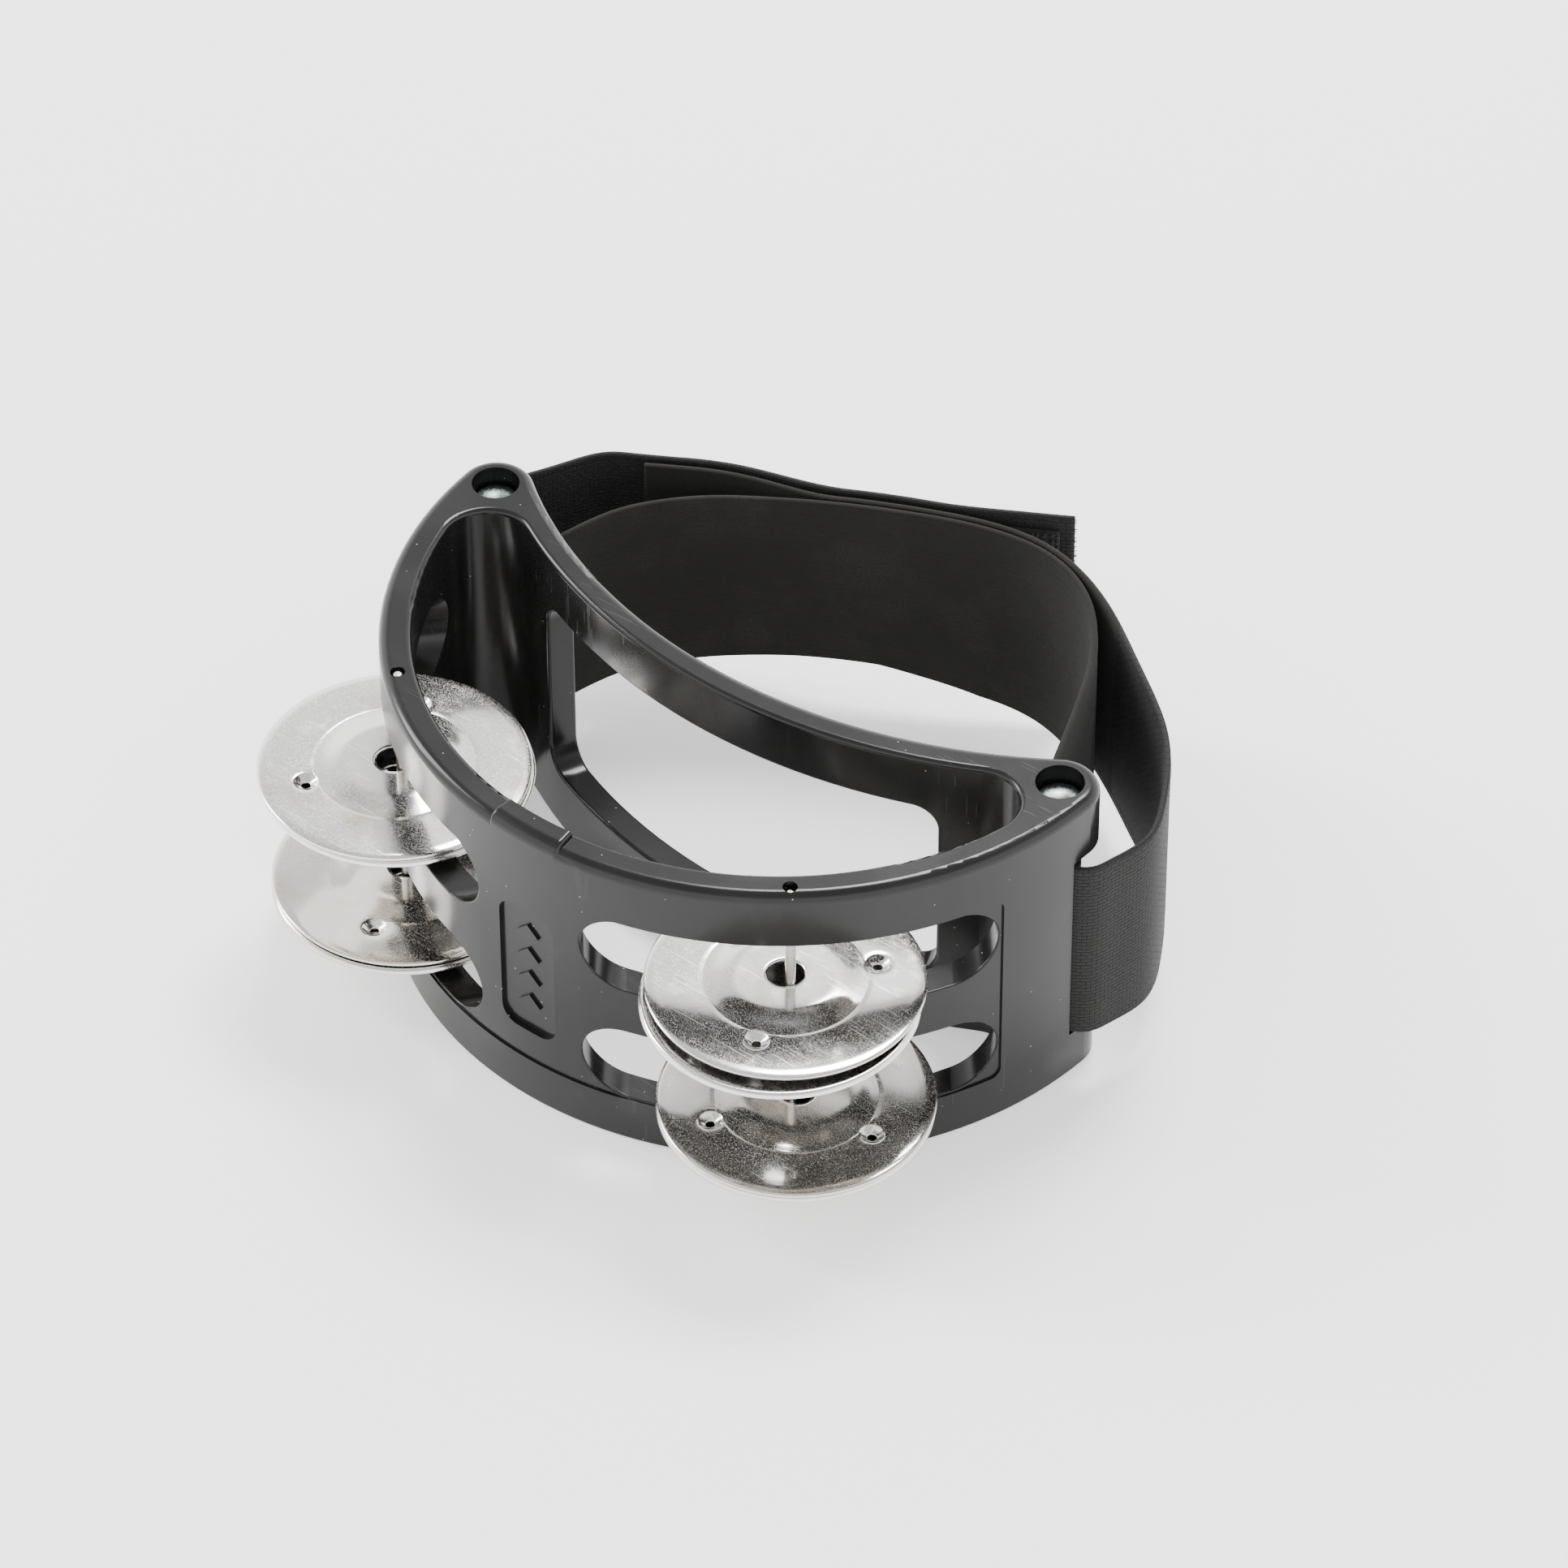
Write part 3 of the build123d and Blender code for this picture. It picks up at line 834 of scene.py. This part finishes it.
class PlanCurve:
    """Smooth curve in plan through points, as a batten would lie, set off and arriving given ways."""

    STEPS_TO_A_SPAN = 32
    NEARBY = 0.0008

    def __init__(self, points: Sequence[Vector], start_way: Vector, end_way: Vector) -> None:
        """Fit the curve and measure its length.

        Args:
            points: Points that it passes through.
            start_way: Unit vector along its start.
            end_way: Unit vector along its end.
        """
        knots = np.array([[point.x, point.y] for point in points])
        spans = np.linalg.norm(np.diff(knots, axis=0), axis=1)
        slopes = self.slopes(knots, spans, start_way, end_way)
        track = [knots[:1]]
        for index, span in enumerate(spans):
            share = np.linspace(0, 1, self.STEPS_TO_A_SPAN + 1)[1:, None]
            first, last = knots[index], knots[index + 1]
            track.append(
                (1 + 2 * share) * (1 - share) ** 2 * first + share**2 * (3 - 2 * share) * last
                + share * (1 - share) ** 2 * span * slopes[index]
                - share**2 * (1 - share) * span * slopes[index + 1])
        self.track = np.concatenate(track)
        steps = np.linalg.norm(np.diff(self.track, axis=0), axis=1)
        self.travel = np.concatenate([[0.0], np.cumsum(steps)])
        self.length = float(self.travel[-1])

    @staticmethod
    def slopes(knots: np.ndarray, spans: np.ndarray, start_way: Vector, end_way: Vector) -> np.ndarray:
        """Slopes at the points that make the curvature continuous.

        Args:
            knots: Points that the curve passes through.
            spans: Straight distances between them.
            start_way: Unit vector along its start.
            end_way: Unit vector along its end.

        Returns:
            One slope to a point.
        """
        count = len(knots)
        system = np.zeros((count, count))
        right = np.zeros((count, 2))
        system[0, 0] = system[-1, -1] = 1
        right[0], right[-1] = start_way[:2], end_way[:2]
        for index in range(1, count - 1):
            before, after = spans[index - 1], spans[index]
            system[index, index - 1:index + 2] = after, 2 * (before + after), before
            right[index] = 3 * (after * (knots[index] - knots[index - 1]) / before
                                + before * (knots[index + 1] - knots[index]) / after)
        return np.linalg.solve(system, right)

    def at(self, share: float) -> Vector:
        """Point at a share of the length."""
        where = share * self.length
        return Vector([float(np.interp(where, self.travel, self.track[:, axis])) for axis in (0, 1)])

    def way(self, share: float) -> Vector:
        """Unit vector along the curve at a share of its length."""
        ahead, behind = self.at(min(share + self.NEARBY, 1)), self.at(max(share - self.NEARBY, 0))
        return (ahead - behind).normalized()

    def beside(self, share: float, distance: float) -> Vector:
        """Point to the left of the way that the curve runs."""
        along = self.way(share)
        return self.at(share) + Vector((-along.y, along.x)) * distance


@dataclass
class StrapRoute:
    """Plan route of the webbing, from the same few sizes as the strap's solids."""

    post_half_spacing: float = 65.0 * MM
    post_line: float = 2.2641 * MM
    shift: float = -0.0219 * MM
    wrap_radius: float = 5.25 * MM
    reach: float = 61.0 * MM
    bulge: float = 11.6 * MM
    thickness: float = 1.4 * MM
    turn_pitch: float = 1.6 * MM
    tail_pitch: float = 4.05 * MM
    exit_angle: float = 20.0
    band_angle_right: float = 62.0
    band_angle_left: float = 68.0
    overlap_right: float = 0.56
    overlap_left: float = 0.34
    under_start: float = 0.43
    under_end: float = 0.61
    tail_split: float = 0.535

    def __post_init__(self) -> None:
        """Lay out the four stretches of webbing."""
        self.band = self.inner_band()
        self.outer = self.outer_turn()
        self.back = self.back_turn()
        self.left_wrap = self.wrap(-1, -self.exit_angle, self.band_angle_left)
        self.right_wrap = self.wrap(1, -self.band_angle_right, self.exit_angle)

    def span(self, across: float, back: float) -> Vector:
        """Point between the posts, as shares of the post spacing and of the strap's reach."""
        return Vector((self.shift + across * self.post_half_spacing, self.post_line + back * self.reach))

    def past(self, side: int, out: float, back: float) -> Vector:
        """Point beyond a post, in millimetres from it."""
        return Vector((self.shift + side * (self.post_half_spacing + out * MM), self.post_line + back * MM))

    def wrap_point(self, side: int, angle: float) -> Vector:
        """Point of the webbing's middle where it lies on a post, in degrees from straight ahead."""
        post = self.past(side, 0, 0)
        return post + Vector((sin(radians(angle)), -cos(radians(angle)))) * self.wrap_radius

    def wrap(self, side: int, start: float, end: float) -> PlanCurve:
        """Stretch round the front of a post."""
        points = [self.wrap_point(side, float(angle)) for angle in np.linspace(start, end, 9)]
        return PlanCurve(points, heading(start), heading(end))

    def inner_band(self) -> PlanCurve:
        """Inner band, from the left post round the back to the right post.

        Returns:
            The band's middle line.
        """
        points = [
            self.wrap_point(-1, self.band_angle_left), self.span(-0.83, 0.333), self.span(-0.518, 0.677),
            self.span(-0.125, 0.907), self.span(0.23, 1.0), self.span(0.43, 0.925), self.span(0.545, 0.81),
            self.span(0.746, 0.395), self.wrap_point(1, -self.band_angle_right),
        ]
        return PlanCurve(points, heading(self.band_angle_left), heading(-self.band_angle_right))

    def outer_turn(self) -> PlanCurve:
        """Tail and left outer turn, from the free end to the left post.

        Returns:
            The turn's middle line.
        """
        behind = [self.band.beside(share, self.tail_pitch)
                  for share in np.linspace(0.445, self.overlap_left + 0.01, 7)]
        points = [
            self.span(0.211, 1.183), self.span(0.066, 1.092), *behind, self.span(-0.695, 0.727),
            self.span(-0.945, 0.577), self.past(-1, 0.4, 32.6), self.past(-1, 4.6, 25.8),
            self.past(-1, 7.9, 19.1), self.past(-1, self.bulge / MM, 9.0), self.past(-1, 10.2, 2.2),
            self.past(-1, 8.9, -1.4), self.past(-1, 6.7, -3.2), self.wrap_point(-1, -self.exit_angle),
        ]
        return PlanCurve(points, heading(-149), heading(-self.exit_angle))

    def back_turn(self) -> PlanCurve:
        """Right outer turn, which ends between the inner band and the tail.

        Returns:
            The turn's middle line.
        """
        behind = [self.band.beside(share, self.turn_pitch)
                  for share in np.linspace(self.overlap_right, self.overlap_left, 13)]
        under = [self.outer.beside(share, self.tail_pitch - self.turn_pitch)
                 for share in np.linspace(self.under_start, self.under_end, 5)]
        points = [
            self.wrap_point(1, self.exit_angle), self.past(1, 6.7, -3.2), self.past(1, 8.9, -1.4),
            self.past(1, 10.2, 2.2), self.past(1, self.bulge / MM, 10.5), self.past(1, 8.0, 20.2),
            self.span(0.954, 0.577), self.span(0.714, 0.775), self.span(0.535, 0.905), *behind, *under,
        ]
        return PlanCurve(points, heading(self.exit_angle), self.outer.way(self.under_end))


@dataclass
class Stretch:
    """Part of a plan curve, and whether its outer faces show the coarse weave."""

    curve: PlanCurve
    start: float
    end: float
    woven: bool

    @property
    def length(self) -> float:
        """Length along the curve."""
        return self.curve.length * (self.end - self.start)

    def share(self, travelled: float) -> float:
        """Share of the curve's length after travelling this far."""
        return self.start + (self.end - self.start) * travelled / self.length


@dataclass(frozen=True)
class Slack:
    """How the soft strap's lower edge strays from level: down at the back right, up at the back left."""

    starts: float = 22 * MM
    settles: float = 26 * MM
    half_span: float = 45 * MM
    droop: float = 2.6 * MM
    droop_reach: float = 0.9
    lift: float = 1.6 * MM
    lift_reach: float = 0.6
    centre: float = 0.55

    def at(self, spot: Vector) -> Vector:
        """How far the lower edge moves at a place in plan.

        Args:
            spot: The place.

        Returns:
            The move, straight up or down.
        """
        behind = min(max((spot.y - self.starts) / self.settles, 0.0), 1.0)
        eased = behind * behind * (3 - 2 * behind)
        across = spot.x / self.half_span
        droop = self.droop * max(0.0, 1 - ((across - self.centre) / self.droop_reach) ** 2)
        lift = self.lift * max(0.0, 1 - ((across + self.centre) / self.lift_reach) ** 2)
        return Vector((0, 0, (lift - droop) * eased))


@dataclass
class Webbing:
    """A closed ribbon of webbing along joined stretches, with rounded, ribbed edges."""

    stretches: list[Stretch]
    width: float
    thickness: float
    middle_height: float
    beside: float = 0.0
    pitch: float = 1.15 * MM
    edge_rib: float = 0.10 * MM
    rib_pitch: float = 1.5 * MM
    rib_band: float = 5.5 * MM
    ripple: float = 0.10 * MM
    ripple_along: float = 70
    ripple_up: float = 60
    side_points: int = 46
    slack: Slack = Slack()

    @property
    def length(self) -> float:
        """Length of the whole ribbon."""
        return sum(stretch.length for stretch in self.stretches)

    def station(self, travelled: float) -> tuple[Vector, Vector, bool]:
        """Place along the ribbon.

        Args:
            travelled: Distance from its start.

        Returns:
            The point on its middle line, its left normal, and whether it is woven.
        """
        for stretch in self.stretches:
            if travelled <= stretch.length or stretch is self.stretches[-1]:
                share = min(stretch.share(travelled), stretch.end)
                along = stretch.curve.way(share)
                left = Vector((-along.y, along.x))
                return stretch.curve.beside(share, self.beside), left, stretch.woven
            travelled -= stretch.length
        raise ValueError("the ribbon has no stretches")

    def section(self) -> list[tuple[float, float]]:
        """Closed outline of the webbing, as offset to the left and height from its middle.

        Returns:
            Points round the outline.
        """
        half, edge = self.thickness / 2, self.width / 2
        outline = []
        for side in (1, -1):
            heights = np.linspace(-1, 1, self.side_points) * side * (edge - half)
            for height in heights:
                inset = edge - abs(height)
                fade = max(0.0, 1 - inset / self.rib_band)
                rib = self.edge_rib * fade * cos(2 * pi * inset / self.rib_pitch)
                outline.append((side * (half - self.edge_rib * fade + rib), float(height)))
            for angle in (30, 60, 90, 120, 150):
                outline.append((side * half * cos(radians(angle)),
                                side * (edge - half + half * sin(radians(angle)))))
        return outline

    def mesh(self) -> bmesh.types.BMesh:
        """Lay a grid along the route and round the section, and close its ends.

        Returns:
            The closed ribbon.
        """
        outline = self.section()
        around = len(outline)
        along = max(4, round(self.length / self.pitch))
        made = bmesh.new()
        bmesh.ops.create_grid(made, x_segments=along, y_segments=around, size=0.5, calc_uvs=True)
        cloth = made.loops.layers.uv.verify()
        stations = [self.station(self.length * step / along) for step in range(along + 1)]
        steps = [hypot(last[0] - first[0], last[1] - first[1])
                 for first, last in zip(outline, outline[1:] + outline[:1])]
        perimeter = np.concatenate([[0], np.cumsum(steps)])
        for face in made.faces:
            *_, woven = stations[int((face.calc_center_median().x + 0.5) * along)]
            face.material_index = 0 if woven else 1
            for loop in face.loops:
                step = round((loop.vert.co.x + 0.5) * along)
                row = round((loop.vert.co.y + 0.5) * around)
                loop[cloth].uv = (self.length * step / along, float(perimeter[row]))
        for vertex in made.verts:
            step = round((vertex.co.x + 0.5) * along)
            row = round((vertex.co.y + 0.5) * around) % around
            point, left, _ = stations[step]
            offset, height = outline[row]
            sway = self.ripple * noise.noise(
                Vector((point.x * self.ripple_along, point.y * self.ripple_along, height * self.ripple_up)))
            ends = min(step, along - step) * self.length / along
            offset += sway if ends > 2 * self.thickness else 0
            spot = point + left * offset
            low = 0.5 - height / self.width
            vertex.co = (spot.x, spot.y, self.middle_height + height + sway * 0.5)
            vertex.co += self.slack.at(spot) * low
        bmesh.ops.remove_doubles(made, verts=made.verts[:], dist=MERGE / 2)
        rims = [edge for edge in made.edges if edge.is_boundary]
        caps = bmesh.ops.holes_fill(made, edges=rims, sides=0)
        for face in caps["faces"]:
            face.material_index = 0
        bmesh.ops.triangulate(made, faces=caps["faces"])
        bmesh.ops.recalc_face_normals(made, faces=made.faces[:])
        return made


@dataclass
class Strap:
    """Elastic strap: the loop round both posts, the tail that peels, and its hook tape."""

    route: StrapRoute = field(default_factory=StrapRoute)
    hook_thickness: float = 0.7 * MM
    hook_gap: float = 0.05 * MM
    hook_start: float = 0.02
    hook_end: float = 0.49
    plush_start: float = 0.42
    tail_bend: float = 9.0 * MM
    thread_count: int = 90
    thread_radius: float = 0.13 * MM
    thread_root: float = 0.4 * MM
    thread_seed: int = 7

    def build(self) -> None:
        """Model the webbing, the hook tape and the frayed end."""
        low, high = corners("strap_loop")
        self.width = high.z - low.z
        self.height = (low.z + high.z) / 2
        self.woven = WovenWebbing().material()
        self.plush = PlushWebbing().material()
        self.loop()
        self.tail()
        self.hooks()
        self.frayed_end()

    def ribbon(self, name: str, stretches: list[Stretch]) -> bpy.types.Object:
        """One length of the webbing with its coarse and its soft face."""
        webbing = Webbing(stretches, self.width, self.route.thickness, self.height)
        return add_piece(name, webbing.mesh(), [self.woven, self.plush])

    def loop(self) -> None:
        """Webbing from the fold round the left post, the back and the right post to its inner end."""
        route = self.route
        piece = self.ribbon("strap_webbing", [
            Stretch(route.outer, route.tail_split, 1, True), Stretch(route.left_wrap, 0, 1, True),
            Stretch(route.band, 0, 1, False), Stretch(route.right_wrap, 0, 1, True),
            Stretch(route.back, 0, self.plush_start, True),
            Stretch(route.back, self.plush_start, 1, False)])
        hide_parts("strap_loop")
        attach(piece, Body.FRAME)

    def tail(self) -> None:
        """Free tail, from its end to the fold."""
        route = self.route
        piece = self.ribbon("strap_tail_webbing", [Stretch(route.outer, 0, route.tail_split, True)])
        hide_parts("strap_tail")
        fold = route.outer.at(route.tail_split)
        beyond = fold - route.outer.way(route.tail_split) * self.tail_bend
        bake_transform(piece)

    def hooks(self) -> None:
        """Hook tape on the inside of the tail."""
        route = self.route
        low, high = corners("hook_tape")
        tape = Webbing(
            [Stretch(route.outer, self.hook_start, self.hook_end, True)],
            high.z - low.z, self.hook_thickness, (low.z + high.z) / 2,
            beside=route.thickness / 2 + self.hook_gap + self.hook_thickness / 2,
            pitch=0.7 * MM, edge_rib=0, ripple=0.05 * MM, side_points=60)
        finish = HookTape().material()
        piece = add_piece("hook_tape_strip", tape.mesh(), [finish, finish])
        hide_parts("hook_tape")
        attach(piece, Body.TAIL)

    def frayed_end(self) -> None:
        """Cut threads that stand out of the tail's free end."""
        route = self.route
        made = bmesh.new()
        end, out = route.outer.at(0), -route.outer.way(0)
        left = Vector((out.y, -out.x))
        draw = np.random.default_rng(self.thread_seed)
        for number in range(self.thread_count):
            height = (number + 0.5) / self.thread_count - 0.5
            length = float(draw.uniform(0.15, 0.7)) * MM
            across = float(draw.uniform(-0.42, 0.42)) * route.thickness
            lean = Vector((float(draw.normal(0, 0.3)), float(draw.normal(0, 0.4))))
            foot = Vector((*(end + left * across), self.height + height * 0.96 * self.width))
            way = Vector((*(out + left * lean.x), lean.y)).normalized()
            thread = bmesh.ops.create_cone(
                made, cap_ends=True, cap_tris=False, segments=6, radius1=self.thread_radius,
                radius2=0.45 * self.thread_radius, depth=length + self.thread_root)
            turn = way.to_track_quat("Z", "Y").to_matrix().to_4x4()
            middle = Matrix.Translation(foot + way * ((length - self.thread_root) / 2))
            bmesh.ops.transform(made, matrix=middle @ turn, verts=thread["verts"])
        piece = add_piece("tail_frayed_threads", made, [self.woven])
        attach(piece, Body.TAIL)


# ---- studio


@dataclass
class Studio:
    """Pale floor, soft lights and the camera."""

    floor_size: float = 6.0
    aim: tuple[float, float, float] = (-6.7 * MM, 13.8 * MM, 14.4 * MM)
    azimuth: float = 38.96
    elevation: float = 42.37
    roll: float = -0.18
    distance: float = 1.499
    lens: float = 186.4
    sensor: float = 36.0
    box_aim: float = 30 * MM
    wall_light: float = 2.9
    upper_light: float = 1.35
    ceiling_light: float = 0.9
    horizon: float = 0.45
    upper: float = 0.66
    ceiling: float = 0.85
    finish: StudioFloor = StudioFloor()

    def build(self) -> None:
        """Set the stage."""
        self.floor()
        self.camera()
        self.lights()

    def floor(self) -> None:
        """Lay the floor under the object."""
        made = bmesh.new()
        bmesh.ops.create_grid(made, x_segments=2, y_segments=2, size=self.floor_size / 2)
        piece = add_piece("studio_floor", made, [self.finish.material()])

    def camera(self) -> None:
        """Place the camera."""
        turn, lift = radians(self.azimuth), radians(self.elevation)
        back = Vector((sin(turn) * cos(lift), -cos(turn) * cos(lift), sin(lift)))
        data = bpy.data.cameras.new("camera")
        data.lens = self.lens
        data.sensor_width = self.sensor
        data.clip_start, data.clip_end = 0.05, 20
        camera = bpy.data.objects.new("camera", data)
        bpy.context.scene.collection.objects.link(camera)
        camera.location = Vector(self.aim) + back * self.distance
        level = back.to_track_quat("Z", "Y")
        camera.rotation_mode = "QUATERNION"
        camera.rotation_quaternion = level @ Matrix.Rotation(radians(self.roll), 3, "Z").to_quaternion()
        bpy.context.scene.camera = camera

    def lights(self) -> None:
        """Hang soft boxes and light the room."""
        world = bpy.data.worlds.new("studio")
        world.use_nodes = True
        tree = world.node_tree
        way = tree.nodes.new("ShaderNodeTexCoord")
        split = tree.nodes.new("ShaderNodeSeparateXYZ")
        tree.links.new(way.outputs["Generated"], split.inputs["Vector"])
        levels = tree.nodes.new("ShaderNodeValToRGB")
        levels.color_ramp.interpolation = "EASE"
        stops = levels.color_ramp.elements
        stops[0].position, stops[1].position = self.horizon, self.upper
        stops.new(self.ceiling)
        for stop, light in zip(stops, (self.wall_light, self.upper_light, self.ceiling_light)):
            stop.color = (light, light, light, 1)
        tree.links.new(split.outputs["Z"], levels.inputs["Fac"])
        tree.links.new(levels.outputs["Color"], tree.nodes["Background"].inputs["Color"])
        bpy.context.scene.world = world
        self.soft_box("overhead_back", (-0.35, 0.95, 1.75), (0.8, 0.6), 55)
        self.soft_box("side_left", (-1.7, -0.5, 1.0), (0.5, 1.2), 30)

    def soft_box(self, name: str, place: Sequence[float], size: tuple[float, float], power: float) -> None:
        """Hang one soft box, facing the object.

        Args:
            name: The light's name.
            place: Where it hangs.
            size: Its width and height.
            power: Its power in watts.
        """
        data = bpy.data.lights.new(name, "AREA")
        data.shape = "RECTANGLE"
        data.size, data.size_y = size
        data.energy = power
        light = bpy.data.objects.new(name, data)
        bpy.context.scene.collection.objects.link(light)
        light.location = place
        back = Vector(place) - Vector((0, 0, self.box_aim))
        light.rotation_euler = back.to_track_quat("Z", "Y").to_euler()


# ---- the whole


def pairs() -> Iterator[JinglePair]:
    """Name the four pairs of jingles, with the way each jingle is turned, in degrees.

    Returns:
        The pairs, one at a time.
    """
    for side, row, bottom, top in ((Side.LEFT, Row.UPPER, 20, 116), (Side.LEFT, Row.LOWER, 50, 49),
                                   (Side.RIGHT, Row.UPPER, 15, 51), (Side.RIGHT, Row.LOWER, 35, 2)):
        yield JinglePair(side, row, {Place.BOTTOM: bottom, Place.TOP: top})


def main() -> None:
    """Build every sub-assembly."""
    logging.basicConfig(level=logging.INFO, format="%(name)s %(message)s")
    Studio().build()
    Moulding().dress()
    SteelWork().build()
    for pair in pairs():
        pair.build()
    Strap().build()


if __name__ == "__main__":
    main()
